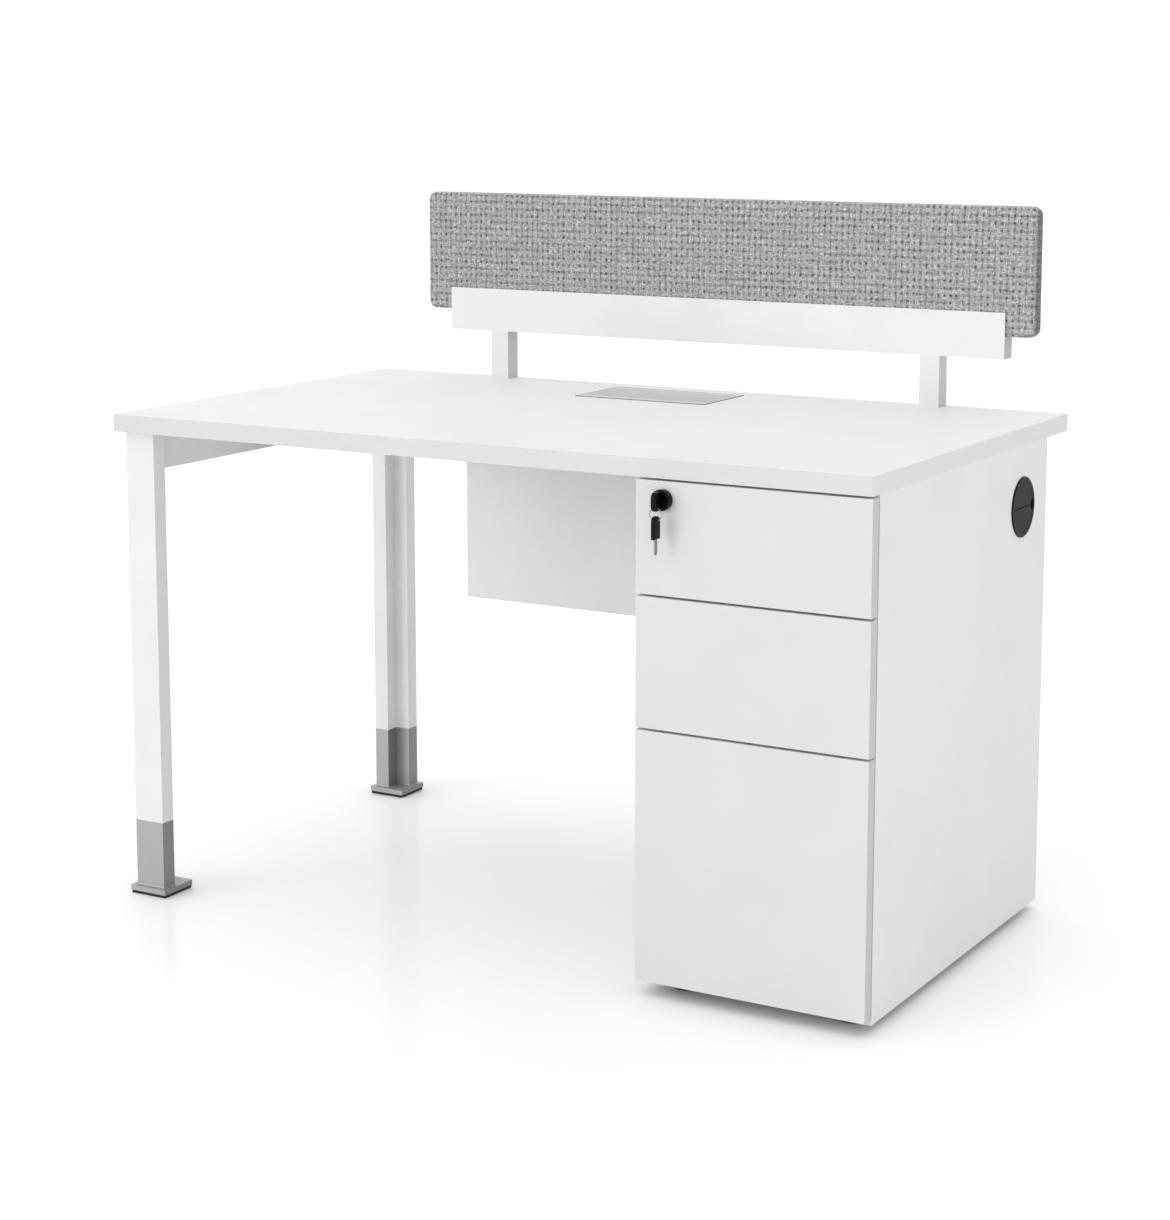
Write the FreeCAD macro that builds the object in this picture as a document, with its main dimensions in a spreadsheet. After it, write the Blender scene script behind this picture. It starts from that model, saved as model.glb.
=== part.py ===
import FreeCAD, Part
import os
import re
import Sketcher

Vector = FreeCAD.Vector

# A straight office workstation: a desktop on two legs and a drawer pedestal, with a low fabric screen.
# X runs to the right along the front edge, Y from the front to the back and Z up from the floor.

# Driving sizes in millimetres. They are written from the desktop's front left corner on the floor.
SIZES = {
    # desktop
    "desk_width": 1200, "desk_depth": 700, "desk_height": 720, "top_thickness": 25,
    "edge_band": 1, "top_corner_radius": 2,
    # left legs, their feet and the rail between them
    "leg_inset_x": 14, "leg_inset_y": 12, "leg_size": 50, "leg_notch": 25, "leg_wall": 2,
    "leg_top_plate": 3, "foot_height": 112, "foot_spigot": 40, "foot_clearance": 0.2,
    "foot_overhang": 7, "foot_plate": 8, "foot_flare": 2.5, "pad_height": 4, "pad_inset": 1,
    "rail_width": 25, "rail_height": 60, "rail_wall": 2,
    # cross beam under the desktop and its angle brackets
    "beam_front": 300, "beam_width": 30, "beam_height": 40, "beam_wall": 2,
    "bracket_plate": 3, "bracket_margin": 10, "bracket_ledge": 30, "bracket_hole_radius": 2.6,
    # modesty panel and its angles
    "modesty_width": 820, "modesty_height": 340, "modesty_thickness": 18, "modesty_setback": 27,
    "angle_leg": 30, "angle_wall": 2.5, "angle_length": 60, "angle_inset": 60,
    # pedestal carcass
    "pedestal_width": 332, "board": 18, "pedestal_lift": 12, "pedestal_front": 21,
    "pedestal_setback": 85, "lock_rail_depth": 18, "back_rail_depth": 80,
    "glide_radius": 23, "glide_inset": 45, "glide_edge": 2,
    # drawer fronts
    "front_thickness": 18, "front_gap": 3, "front_floor_gap": 20, "front_arris": 0.8,
    "upper_front_height": 150, "middle_front_height": 175,
    # sheet steel drawer boxes
    "box_length": 400, "box_wall": 1.2, "box_lift": 10, "box_headroom": 50, "box_clearance": 6,
    "box_rim": 6,
    # telescopic slides, sections across the side of a box
    "slide_space": 12.7, "slide_length": 390, "slide_start": 24, "slide_sheet": 1.2, "slide_gap": 0.3,
    "slide_height": 35, "file_slide_height": 46, "slide_lip": 3, "slide_rise": 32,
    "file_lip_start": 7.2,
    # lock of the upper drawer, its key, key ring and spare key
    "lock_inset": 40, "lock_drop": 24, "collar_radius": 14, "collar_proud": 10, "collar_round": 2,
    "lock_barrel_radius": 9, "lock_fit": 0.2, "lock_reach": 40, "plug_radius": 6, "plug_clearance": 0.05,
    "plug_proud": 0.5, "keyway_width": 2.4, "keyway_height": 7.6, "keyway_depth": 22,
    "blade_clearance": 0.2, "cam_gap": 1, "cam_thickness": 2.5, "cam_radius": 24, "cam_half_width": 6,
    "key_gap": 0.5, "key_length": 18, "key_height": 25, "key_thickness": 6, "key_round": 7,
    "key_edge": 1, "key_blade_length": 20,
    "ring_radius": 8.5, "ring_wire": 0.6, "key_hole_radius": 1.5,
    "key_hole_rise": 4.5, "key_hole_inset": 9,
    "spare_width": 16, "spare_height": 30, "spare_round": 7, "spare_hole_drop": 6.5,
    "spare_blade_length": 21, "spare_blade_width": 6, "spare_blade_thickness": 2,
    # cable grommet in the right side panel
    "grommet_back": 95, "grommet_drop": 87, "grommet_hole_radius": 40, "grommet_flange_radius": 43,
    "grommet_proud": 2.5, "grommet_barrel_wall": 3, "grommet_barrel_depth": 15,
    "grommet_fit": 0.3, "grommet_bar_width": 6, "grommet_bar_depth": 5, "flap_thickness": 2,
    "flap_gap": 1, "cable_notch_radius": 9, "finger_hole_radius": 2, "finger_hole_inset": 5,
    "flange_round": 1,
    # flush power box near the back edge
    "power_offset": 16, "power_back": 45, "power_width": 220, "power_depth": 130,
    "power_proud": 0.5, "power_rebate": 2.5, "power_gap": 1.5, "power_lip": 6, "power_fit": 0.3,
    "power_side": 3, "power_strip": 20, "power_rear": 8, "power_skirt": 8, "power_ledge": 6,
    "lid_thickness": 2.6, "lid_clearance": 0.3, "lid_pin_radius": 0.8, "lid_pin_clearance": 0.05,
    "lid_pin_length": 2, "tray_wall": 1.5, "tray_depth": 52, "tray_outlet_radius": 12,
    "tray_outlet_inset": 24, "socket_length": 180, "socket_width": 52,
    "socket_height": 30, "socket_radius": 20, "socket_recess": 10, "socket_pitch": 56,
    "socket_side_gap": 5, "socket_pin_radius": 2.4, "socket_pin_spread": 9.5, "socket_pin_depth": 9,
    # fabric screen, its channel and posts
    "screen_offset": 32, "post_offset": 20, "post_width": 31, "post_depth": 30, "post_height": 77,
    "post_wall": 2, "post_base": 3, "post_spacing": 749, "channel_length": 958,
    "channel_height": 68, "channel_wall": 2, "channel_web": 3, "channel_slot": 36,
    "screen_width": 1050, "screen_height": 190, "screen_fit": 0.3, "screen_corner": 13,
    "screen_bevel": 4,
    # half a flat of a regular octagon, as a share of its inner radius
    "octagon_share": 0.414,
    # how far cuts run past a face
    "overrun": 1,
}

# Places and sizes that follow from the driving ones.
DERIVED = {
    "underside": "desk_height - top_thickness",
    "leg_back_y": "desk_depth - leg_inset_y - leg_size",
    "rail_y": "leg_inset_y + leg_size",
    "rail_length": "leg_back_y - rail_y",
    "rail_inner_x": "leg_inset_x + rail_width",
    "beam_length": "pedestal_x - rail_inner_x - 2 * bracket_plate",
    "modesty_x": "(desk_width - modesty_width) / 2",
    "modesty_y": "desk_depth - modesty_setback - modesty_thickness",
    "pedestal_x": "desk_width - pedestal_width",
    "pedestal_back_y": "desk_depth - pedestal_setback",
    "carcass_depth": "pedestal_back_y - pedestal_front",
    "carcass_height": "underside - pedestal_lift",
    "inner_x": "pedestal_x + board",
    "inner_width": "pedestal_width - 2 * board",
    "right_side_x": "desk_width - board",
    "upper_front_z": "underside - front_gap - upper_front_height",
    "middle_front_z": "upper_front_z - front_gap - middle_front_height",
    "file_front_height": "middle_front_z - front_gap - front_floor_gap",
    "box_width": "inner_width - 2 * slide_space",
    "file_front_z": "front_floor_gap",
    "upper_box_z": "upper_front_z + box_lift",
    "middle_box_z": "middle_front_z + box_lift",
    "upper_box_height": "upper_front_height - box_lift - box_headroom",
    "middle_box_height": "middle_front_height - box_lift - box_headroom",
    "file_box_z": "pedestal_lift + board + box_clearance",
    "file_box_height": "front_floor_gap + file_front_height - box_headroom - file_box_z",
    "small_half": "slide_height / 2",
    "file_half": "file_slide_height / 2",
    "member_lip_start": "slide_space - 2 * slide_sheet - slide_gap",
    "middle_half": "file_half - slide_sheet - slide_lip - slide_gap",
    "lock_x": "pedestal_x + lock_inset",
    "lock_z": "upper_front_z + upper_front_height - lock_drop",
    "key_back": "collar_proud + plug_proud + key_gap",
    "key_reach": "key_back + key_length",
    "ring_y": "0 - key_back - key_hole_inset",
    "ring_top_z": "lock_z - key_height / 2 + key_hole_rise",
    "ring_z": "ring_top_z - ring_radius",
    "spare_top_z": "ring_z - ring_radius + spare_hole_drop",
    "plug_turn_radius": "plug_radius - plug_clearance",
    "grommet_y": "pedestal_back_y - grommet_back",
    "grommet_z": "underside - grommet_drop",
    "grommet_outer": "grommet_hole_radius - grommet_fit",
    "grommet_inner": "grommet_outer - grommet_barrel_wall",
    "flap_radius": "grommet_inner - grommet_fit",
    "flap_face_x": "desk_width + grommet_proud - grommet_fit",
    "flap_back_x": "flap_face_x - flap_thickness",
    "power_x": "desk_width / 2 - power_offset - power_width / 2",
    "power_y": "desk_depth - power_back - power_depth",
    "cut_width": "power_width - 2 * power_lip",
    "cut_depth": "power_depth - 2 * power_lip",
    "skirt_width": "cut_width - 2 * power_fit",
    "skirt_depth": "cut_depth - 2 * power_fit",
    "lid_open_width": "power_width - 2 * power_side",
    "lid_open_depth": "power_depth - power_strip - power_rear",
    "lid_width": "lid_open_width - 2 * lid_clearance",
    "lid_depth": "lid_open_depth - 2 * lid_clearance",
    "power_frame_z": "desk_height - power_rebate - power_skirt",
    "power_frame_height": "power_skirt + power_rebate + power_proud",
    "power_bottom_z": "power_frame_z - tray_depth",
    "post_z": "desk_height",
    "channel_z": "desk_height + post_height",
    "channel_y": "desk_depth - post_depth",
    "screen_centre_x": "desk_width / 2 + screen_offset",
    "post_centre_x": "desk_width / 2 + post_offset",
    "screen_thickness": "post_depth - 2 * channel_wall - 2 * screen_fit",
    "screen_z": "channel_z + channel_height - channel_slot + screen_fit",
    "origin_x": "(desk_width + grommet_proud) / 2",
    "origin_y": "(desk_depth - key_reach) / 2",
}

# Two coordinates closer than this are the same place on a shape.
NEAR = 0.001

doc = FreeCAD.newDocument("workstation")
sheet = doc.addObject("Spreadsheet::Sheet", "Sizes")
for row, (name, number) in enumerate(SIZES.items(), 1):
    sheet.set("A%d" % row, name)
    sheet.set("B%d" % row, str(number))
    sheet.setAlias("B%d" % row, name)
doc.recompute()
pieces = []


def expand(text):
    """An expression in plain size names, written out in cells of the sheet."""
    def word(match):
        name = match.group(0)
        if name in SIZES:
            return "Sizes." + name
        if name in DERIVED:
            return "(" + expand(DERIVED[name]) + ")"
        return name
    return re.sub(r"[A-Za-z_]\w*", word, text)


def length(text):
    """The present value of an expression."""
    return float(sheet.evalExpression(expand(text)))


def bind(item, prop, text):
    item.setExpression(prop, expand(text))


def place(item, x, y, z):
    """Put a piece at a place of the desk's frame and count it among the pieces."""
    bind(item, "Placement.Base.x", "(%s) - origin_x" % x)
    bind(item, "Placement.Base.y", "(%s) - origin_y" % y)
    bind(item, "Placement.Base.z", z)
    pieces.append(item)
    return item


def new_body(label, x, y, z):
    return place(doc.addObject("PartDesign::Body", label), x, y, z)


def draw(part, plane, loops, level="0"):
    """A sketch on one of the body's own planes. A list is an outline, a tuple a circle."""
    sketch = part.newObject("Sketcher::SketchObject", part.Name + "_sketch")
    origin_plane = next(f for f in part.Origin.OriginFeatures if f.Role == plane + "_Plane")
    sketch.AttachmentSupport = [(origin_plane, "")]
    sketch.MapMode = "FlatFace"
    if level != "0":
        bind(sketch, "AttachmentOffset.Base.z", level)
    for loop in loops:
        if isinstance(loop, tuple):
            add_circle(sketch, loop)
        else:
            add_outline(sketch, loop)
    return sketch


def pin_point(sketch, geometry, point, u, v):
    """Tie one point of a sketch to its two coordinates."""
    for kind, text in (("DistanceX", u), ("DistanceY", v)):
        number = sketch.addConstraint(Sketcher.Constraint(kind, -1, 1, geometry, point, length(text)))
        if text != "0":
            bind(sketch, "Constraints[%d]" % number, text)


def add_outline(sketch, points):
    start = sketch.GeometryCount
    corners = [Vector(length(u), length(v), 0) for u, v in points]
    count = len(points)
    for i in range(count):
        sketch.addGeometry(Part.LineSegment(corners[i], corners[(i + 1) % count]))
    for i in range(count):
        following = start + (i + 1) % count
        sketch.addConstraint(Sketcher.Constraint("Coincident", start + i, 2, following, 1))
    for i in range(count):
        pin_point(sketch, start + i, 1, *points[i])


def add_circle(sketch, circle):
    u, v, radius = circle
    number = sketch.addGeometry(Part.Circle(Vector(length(u), length(v), 0), Vector(0, 0, 1),
                                            length(radius)))
    held = sketch.addConstraint(Sketcher.Constraint("Radius", number, length(radius)))
    bind(sketch, "Constraints[%d]" % held, radius)
    pin_point(sketch, number, 3, u, v)


def pad(part, sketch, amount, reverse=False):
    feature = part.newObject("PartDesign::Pad", part.Name + "_pad")
    feature.Profile = sketch
    feature.Reversed = reverse
    bind(feature, "Length", amount)
    doc.recompute()
    return part


def pocket(part, sketch, amount, reverse=False):
    """Cut a sketch into the body. The volume has to drop."""
    before = part.Shape.Volume
    feature = part.newObject("PartDesign::Pocket", part.Name + "_pocket")
    feature.Profile = sketch
    feature.Reversed = reverse
    bind(feature, "Length", amount)
    doc.recompute()
    if not part.Shape.Volume < before:
        raise RuntimeError("a pocket of %s cuts nothing" % part.Label)
    return part


def revolve(part, outline):
    """Turn an outline in the XZ plane about the body's own Z axis."""
    sketch = draw(part, "XZ", [outline])
    feature = part.newObject("PartDesign::Revolution", part.Name + "_turn")
    feature.Profile = sketch
    feature.ReferenceAxis = (sketch, ["V_Axis"])
    feature.Angle = 360
    doc.recompute()
    return part


def straight_edges(part, axis, keep):
    """Names of the straight edges along one axis whose middle point is to be kept."""
    names = []
    for number, edge in enumerate(part.Tip.Shape.Edges, 1):
        if edge.Curve.TypeId != "Part::GeomLine":
            continue
        if abs(abs(edge.Curve.Direction[axis]) - 1) > NEAR:
            continue
        if keep(edge.CenterOfMass):
            names.append("Edge%d" % number)
    return names


def level_edges(part, axis, at):
    """Names of all edges that lie wholly in one plane across an axis."""
    names = []
    for number, edge in enumerate(part.Tip.Shape.Edges, 1):
        box = edge.BoundBox
        low = (box.XMin, box.YMin, box.ZMin)[axis]
        high = (box.XMax, box.YMax, box.ZMax)[axis]
        if abs(low - at) < NEAR and abs(high - at) < NEAR:
            names.append("Edge%d" % number)
    return names


def ease(part, names, amount):
    """Round the named edges of the body."""
    base = part.Tip
    feature = part.newObject("PartDesign::Fillet", part.Name + "_round")
    feature.Base = (base, names)
    bind(feature, "Radius", amount)
    doc.recompute()
    return part


def bevel(part, names, amount):
    """Cut the named edges of the body off at 45 degrees."""
    base = part.Tip
    feature = part.newObject("PartDesign::Chamfer", part.Name + "_bevel")
    feature.Base = (base, names)
    bind(feature, "Size", amount)
    doc.recompute()
    return part


def rectangle(u0, v0, width, height):
    """The outline of a rectangle from its low corner."""
    u1 = width if u0 == "0" else "%s + %s" % (u0, width)
    v1 = height if v0 == "0" else "%s + %s" % (v0, height)
    return [(u0, v0), (u1, v0), (u1, v1), (u0, v1)]


def octagon(u, v, radius):
    """The outline of a regular octagon round a circle. It stands for a small round form."""
    flat = "%s * octagon_share" % radius
    steps = [(radius, "0 - %s" % flat), (radius, flat), (flat, radius), ("0 - %s" % flat, radius),
             ("0 - %s" % radius, flat), ("0 - %s" % radius, "0 - %s" % flat),
             ("0 - %s" % flat, "0 - %s" % radius), (flat, "0 - %s" % radius)]
    return [("%s + %s" % (u, across), "%s + %s" % (v, up)) for across, up in steps]


def block(label, at, size):
    """A square-edged piece cut from board, bar or sheet."""
    part = new_body(label, *at)
    return pad(part, draw(part, "XY", [rectangle("0", "0", size[0], size[1])]), size[2])


def group(label, members):
    """Alike pieces under one name, each still its own solid."""
    for member in members:
        pieces.remove(member)
    compound = doc.addObject("Part::Compound", label)
    compound.Links = members
    pieces.append(compound)
    doc.recompute()


# Desktop: a board with a plastic edge band all round and a rebated cut-out for the power box.
def make_desktop():
    core_width = "desk_width - 2 * edge_band"
    core_depth = "desk_depth - 2 * edge_band"
    top = new_body("desktop", "edge_band", "edge_band", "underside")
    cut = rectangle("power_x + power_lip - edge_band", "power_y + power_lip - edge_band",
                    "cut_width", "cut_depth")
    pad(top, draw(top, "XY", [rectangle("0", "0", core_width, core_depth), cut]), "top_thickness")
    rebate = rectangle("power_x - power_gap - edge_band", "power_y - power_gap - edge_band",
                       "power_width + 2 * power_gap", "power_depth + 2 * power_gap")
    pocket(top, draw(top, "XY", [rebate], "top_thickness"), "power_rebate")
    band = new_body("desktop_edge_band", "0", "0", "underside")
    inner = rectangle("edge_band", "edge_band", core_width, core_depth)
    pad(band, draw(band, "XY", [rectangle("0", "0", "desk_width", "desk_depth"), inner]),
        "top_thickness")
    width = length("desk_width")
    outer = straight_edges(band, 2, lambda p: min(p.x, width - p.x) < NEAR)
    ease(band, outer, "top_corner_radius")


# Left legs: hollow corner profiles with the inner corner notched out, closed by a plate at the top.
def notched(size, notch, at, front):
    """The leg's six-cornered outline. The notch is at the inner side, to the back or the front."""
    full = "%s + %s" % (at, size)
    step = "%s + %s - %s" % (at, size, notch)
    if front:
        return [(at, at), (full, at), (full, step), (step, step), (step, full), (at, full)]
    low = "%s + %s" % (at, notch)
    return [(at, at), (step, at), (step, low), (full, low), (full, full), (at, full)]


def make_leg(name, y, front):
    leg = new_body(name + "_leg", "leg_inset_x", y, "foot_height")
    wall_inside = notched("leg_size - 2 * leg_wall", "leg_notch", "leg_wall", front)
    outside = notched("leg_size", "leg_notch", "0", front)
    pad(leg, draw(leg, "XY", [outside]), "underside - foot_height")
    pocket(leg, draw(leg, "XY", [wall_inside]), "underside - foot_height - leg_top_plate", True)


def make_foot(name, y, front):
    """Foot sleeve in line with the leg, a spigot up into it and a flared square base plate."""
    foot = new_body(name + "_leg_foot", "leg_inset_x - foot_overhang", "(%s) - foot_overhang" % y,
                    "pad_height")
    plate = "leg_size + 2 * foot_overhang"
    pad(foot, draw(foot, "XY", [rectangle("0", "0", plate, plate)]), "foot_plate")
    outside = notched("leg_size", "leg_notch", "foot_overhang", front)
    pad(foot, draw(foot, "XY", [outside], "foot_plate"), "foot_height - pad_height - foot_plate")
    flare = [n for n in level_edges(foot, 2, length("foot_plate"))
             if is_column_edge(foot, n)]
    ease(foot, flare, "foot_flare")
    spigot_at = "foot_overhang + leg_wall + foot_clearance"
    spigot = notched("leg_size - 2 * leg_wall - 2 * foot_clearance",
                     "leg_notch", spigot_at, front)
    pad(foot, draw(foot, "XY", [spigot], "foot_height - pad_height"), "foot_spigot")
    block(name + "_foot_pad",
          ("leg_inset_x - foot_overhang + pad_inset", "(%s) - foot_overhang + pad_inset" % y, "0"),
          ("%s - 2 * pad_inset" % plate, "%s - 2 * pad_inset" % plate, "pad_height"))


def is_column_edge(part, name):
    """Whether an edge lies inside the base plate's outline, at the column's root."""
    point = part.Tip.Shape.getElement(name).CenterOfMass
    far = length("leg_size + 2 * foot_overhang") - NEAR
    return NEAR < point.x < far and NEAR < point.y < far


def tube(label, at, plane, width, height, wall, run, reverse=False):
    """A rectangular tube whose section is drawn across its run."""
    part = new_body(label, *at)
    outer = rectangle("0", "0", width, height)
    inner = rectangle(wall, wall, "%s - 2 * %s" % (width, wall), "%s - 2 * %s" % (height, wall))
    return pad(part, draw(part, plane, [outer, inner]), run, reverse)


def make_frame():
    for name, y, front in (("front", "leg_inset_y", True), ("back", "leg_back_y", False)):
        make_leg(name, y, front)
        make_foot(name, y, front)
    tube("side_rail", ("leg_inset_x", "rail_y", "underside - rail_height"), "XZ",
         "rail_width", "rail_height", "rail_wall", "rail_length", True)
    tube("cross_beam", ("rail_inner_x + bracket_plate", "beam_front", "underside - beam_height"),
         "YZ", "beam_width", "beam_height", "beam_wall", "beam_length")
    make_beam_bracket("beam_bracket_left", "rail_inner_x", False)
    make_beam_bracket("beam_bracket_right", "pedestal_x - bracket_ledge", True)


def make_beam_bracket(label, x, mirrored):
    """An angle: a plate on the carrying face and a ledge that the beam's end lies on."""
    bracket = new_body(label, x, "beam_front - bracket_margin",
                       "underside - beam_height - bracket_plate")
    top = "bracket_plate + beam_height"
    section = [("0", "0"), ("bracket_ledge", "0"), ("bracket_ledge", "bracket_plate"),
               ("bracket_plate", "bracket_plate"), ("bracket_plate", top), ("0", top)]
    if mirrored:
        face = "bracket_ledge - bracket_plate"
        section = [("0", "0"), ("bracket_ledge", "0"), ("bracket_ledge", top), (face, top),
                   (face, "bracket_plate"), ("0", "bracket_plate")]
    pad(bracket, draw(bracket, "XZ", [section]), "beam_width + 2 * bracket_margin", True)
    side = "bracket_margin / 2"
    far = "beam_width + 2 * bracket_margin - %s" % side
    height = "bracket_plate + beam_height / 2"
    holes = [(side, height, "bracket_hole_radius"), (far, height, "bracket_hole_radius")]
    pocket(bracket, draw(bracket, "YZ", holes, "0 - overrun"), "bracket_ledge + 2 * overrun", True)


# Modesty panel behind the knee space, hung from the desktop by two angles.
def make_modesty():
    block("modesty_panel", ("modesty_x", "modesty_y", "underside - modesty_height"),
          ("modesty_width", "modesty_thickness", "modesty_height"))
    right = "modesty_x + modesty_width - angle_inset - angle_length"
    for label, x in (("modesty_angle_left", "modesty_x + angle_inset"),
                     ("modesty_angle_right", right)):
        angle = new_body(label, x, "modesty_y - angle_leg", "underside - angle_leg")
        roof = "angle_leg - angle_wall"
        section = [("0", roof), (roof, roof), (roof, "0"), ("angle_leg", "0"),
                   ("angle_leg", "angle_leg"), ("0", "angle_leg")]
        pad(angle, draw(angle, "YZ", [section]), "angle_length")


# Pedestal carcass of board: two sides, back, bottom and two rails under the desktop.
def make_carcass():
    side_size = ("board", "carcass_depth", "carcass_height")
    block("pedestal_left_side", ("pedestal_x", "pedestal_front", "pedestal_lift"), side_size)
    right = block("pedestal_right_side", ("right_side_x", "pedestal_front", "pedestal_lift"),
                  side_size)
    hole = ("grommet_y - pedestal_front", "grommet_z - pedestal_lift", "grommet_hole_radius")
    pocket(right, draw(right, "YZ", [hole], "0 - overrun"), "board + 2 * overrun", True)
    block("pedestal_back", ("inner_x", "pedestal_back_y - board", "pedestal_lift"),
          ("inner_width", "board", "carcass_height"))
    block("pedestal_bottom", ("inner_x", "pedestal_front", "pedestal_lift"),
          ("inner_width", "carcass_depth - board", "board"))
    block("pedestal_lock_rail", ("inner_x", "pedestal_front", "underside - board"),
          ("inner_width", "lock_rail_depth", "board"))
    block("pedestal_back_rail",
          ("inner_x", "pedestal_back_y - board - back_rail_depth", "underside - board"),
          ("inner_width", "back_rail_depth", "board"))
    glides = []
    rim = "glide_radius - glide_edge"
    for x in ("pedestal_x + glide_inset", "desk_width - glide_inset"):
        for y in ("pedestal_front + glide_inset", "pedestal_back_y - glide_inset"):
            glide = new_body("glide", x, y, "0")
            glides.append(glide)
            revolve(glide, [("0", "0"), (rim, "0"), ("glide_radius", "glide_edge"),
                            ("glide_radius", "pedestal_lift"), ("0", "pedestal_lift")])
    group("pedestal_glides", glides)


# Drawers: a board front and a folded steel box with rims turned in along the top.
def make_drawer(name, front_z, front_height, box_z, box_height):
    front = block(name + "_drawer_front", ("pedestal_x", "0", front_z),
                  ("pedestal_width", "front_thickness", front_height))
    ease(front, level_edges(front, 1, 0.0), "front_arris")
    if name == "upper":
        hole = ("lock_inset", "%s - lock_drop" % front_height, "lock_barrel_radius")
        pocket(front, draw(front, "XZ", [hole], "overrun"), "front_thickness + 2 * overrun")
    box = new_body(name + "_drawer_box", "inner_x + slide_space", "front_thickness", box_z)
    pad(box, draw(box, "XY", [rectangle("0", "0", "box_width", "box_length")]), box_height)
    inside = rectangle("box_wall", "box_wall", "box_width - 2 * box_wall",
                       "box_length - 2 * box_wall")
    below_rim = "(%s) - 2 * box_wall" % box_height
    pocket(box, draw(box, "XY", [inside], "box_wall"), below_rim, True)
    mouth = rectangle("box_rim", "box_rim", "box_width - 2 * box_rim", "box_length - 2 * box_rim")
    pocket(box, draw(box, "XY", [mouth], "(%s) - box_wall - overrun" % box_height),
           "box_wall + 2 * overrun", True)


# Slides: formed steel members inside one another. A section has X away from the side panel and
# Z across the slide, and its lower half mirrors its upper half.
def both_halves(upper):
    return upper + [(x, "0 - (%s)" % z) for x, z in reversed(upper)]


def cabinet_section(half, lip_start):
    """Web on the side panel, two flanges and the lips turned in at their edges."""
    inner = "%s - slide_sheet" % half
    lip = "%s - slide_lip" % inner
    tip = "%s + slide_sheet" % lip_start
    return both_halves([("0", half), (tip, half), (tip, lip), (lip_start, lip),
                        (lip_start, inner), ("slide_sheet", inner)])


def middle_section():
    """A channel with out-turned feet that run behind the cabinet member's lips."""
    back = "slide_sheet + slide_gap"
    foot_front = "file_lip_start - slide_gap"
    foot_back = "%s - slide_sheet" % foot_front
    foot = "file_half - slide_sheet - slide_gap"
    inner = "middle_half - slide_sheet"
    tip = "member_lip_start + slide_sheet"
    lip = "%s - slide_lip" % inner
    return both_halves([(back, "middle_half"), (foot_back, "middle_half"), (foot_back, foot),
                        (foot_front, foot), (foot_front, "middle_half"), (tip, "middle_half"),
                        (tip, lip), ("member_lip_start", lip), ("member_lip_start", inner),
                        ("%s + slide_sheet" % back, inner)])


def drawer_section(half):
    """A hat with its web on the box and its out-turned feet behind the lips of the member round it."""
    foot = "%s - slide_sheet - slide_gap" % half
    wall = "%s - slide_lip" % foot
    inner = "%s - slide_sheet" % wall
    foot_front = "member_lip_start - slide_gap"
    foot_back = "%s - slide_sheet" % foot_front
    return both_halves([("slide_space", wall), (foot_front, wall), (foot_front, foot),
                        (foot_back, foot), (foot_back, inner), ("slide_space - slide_sheet", inner)])


def make_member(label, right, z, outline):
    """A slide member along Y. The right-hand one is the mirror image of the left-hand one."""
    member = new_body(label, "inner_x + inner_width" if right else "inner_x", "slide_start", z)
    if right:
        outline = [("0 - (%s)" % x, z) for x, z in outline]
    return pad(member, draw(member, "XZ", [outline]), "slide_length", True)


def make_drawers():
    small = cabinet_section("small_half", "member_lip_start")
    large = cabinet_section("file_half", "file_lip_start")
    for name in ("upper", "middle", "file"):
        box_z = name + "_box_z"
        box_height = name + "_box_height"
        make_drawer(name, name + "_front_z", name + "_front_height", box_z, box_height)
        z = "%s + %s" % (box_z, "file_box_height / 2" if name == "file" else "slide_rise")
        for side, right in (("left", False), ("right", True)):
            make_member("%s_%s_slide_cabinet" % (name, side), right, z,
                        large if name == "file" else small)
            make_member("%s_%s_slide_drawer" % (name, side), right, z,
                        drawer_section("middle_half" if name == "file" else "small_half"))
    middles = [make_member("middle_member_" + side, right, z, middle_section())
               for side, right in (("left", False), ("right", True))]
    group("file_slide_middles", middles)


# Lock of the upper drawer. Its pieces are drawn upright and laid over, so their top faces the user.
def facing_front(part):
    part.Placement.Rotation = FreeCAD.Rotation(Vector(1, 0, 0), 90)
    return part


def centred(width, height):
    return rectangle("0 - (%s) / 2" % width, "0 - (%s) / 2" % height, width, height)


def make_lock():
    lock = facing_front(new_body("lock_body", "lock_x", "0", "lock_z"))
    barrel = "lock_barrel_radius - lock_fit"
    step = "collar_radius - collar_round"
    revolve(lock, [("plug_radius", "0 - lock_reach"), (barrel, "0 - lock_reach"), (barrel, "0"),
                   ("collar_radius", "0"), ("collar_radius", "collar_proud - collar_round"),
                   (step, "collar_proud"), ("plug_radius", "collar_proud")])
    plug = facing_front(new_body("lock_plug", "lock_x", "0", "lock_z"))
    cam_start = "lock_reach + cam_gap"
    pad(plug, draw(plug, "XY", [("0", "0", "plug_turn_radius")], "0 - (%s)" % cam_start),
        "%s + collar_proud + plug_proud" % cam_start)
    pocket(plug, draw(plug, "XY", [centred("keyway_width", "keyway_height")],
                      "collar_proud + plug_proud"), "keyway_depth")
    cam = facing_front(new_body("lock_cam", "lock_x", "0", "lock_z"))
    level = "0 - (%s) - cam_thickness" % cam_start
    arm = rectangle("0", "0 - cam_half_width", "cam_radius", "2 * cam_half_width")
    pad(cam, draw(cam, "XY", [arm], level), "cam_thickness")
    pad(cam, draw(cam, "XY", [("0", "0", "lock_barrel_radius")], level), "cam_thickness")


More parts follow.
